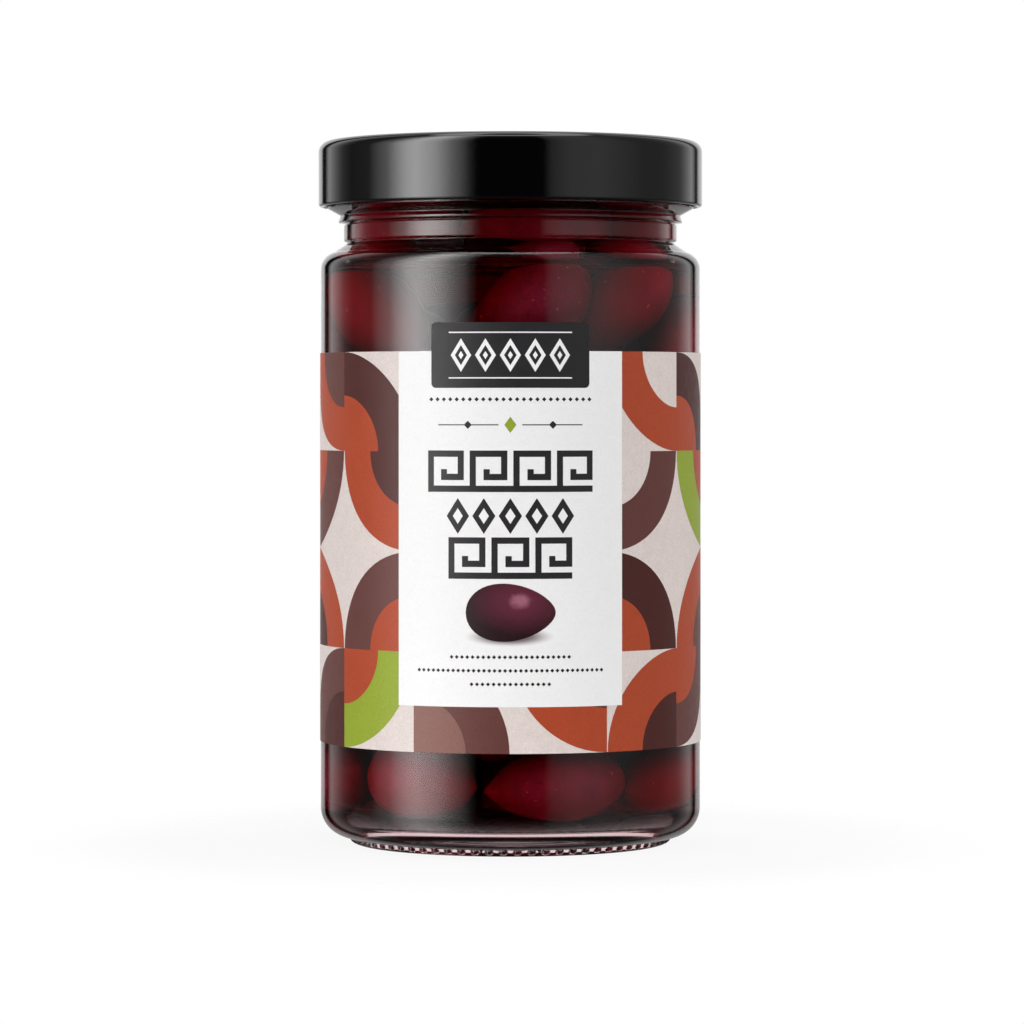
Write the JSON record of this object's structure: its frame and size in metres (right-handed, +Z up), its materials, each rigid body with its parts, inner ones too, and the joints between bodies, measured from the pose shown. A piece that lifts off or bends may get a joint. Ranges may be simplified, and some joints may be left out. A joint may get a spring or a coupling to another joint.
{
  "type": "jar of olives",
  "caption": "Round clear glass jar of dark olives in brine, with a black twist-off metal lid, a narrow neck band, a stippled foot and a printed paper label with a raised front tab.",
  "frame": {"origin": "centre of the foot ring's standing plane", "axes": "+Z up along the jar's axis; the front of the label faces -Y"},
  "size_m": [0.0738, 0.0738, 0.1344],
  "materials": {
    "clear_glass": "clear flint glass, glossy",
    "black_lacquer": "black gloss lacquer on tinplate",
    "printed_paper": "satin printed paper",
    "brine": "dark wine-red clear liquid",
    "olive": "satin olive skin, dark purple-red"
  },
  "bodies": {
    "root": {"glass_jar": "clear_glass", "lid": "black_lacquer", "label": "printed_paper", "brine": "brine"}
  },
  "joints": []
}
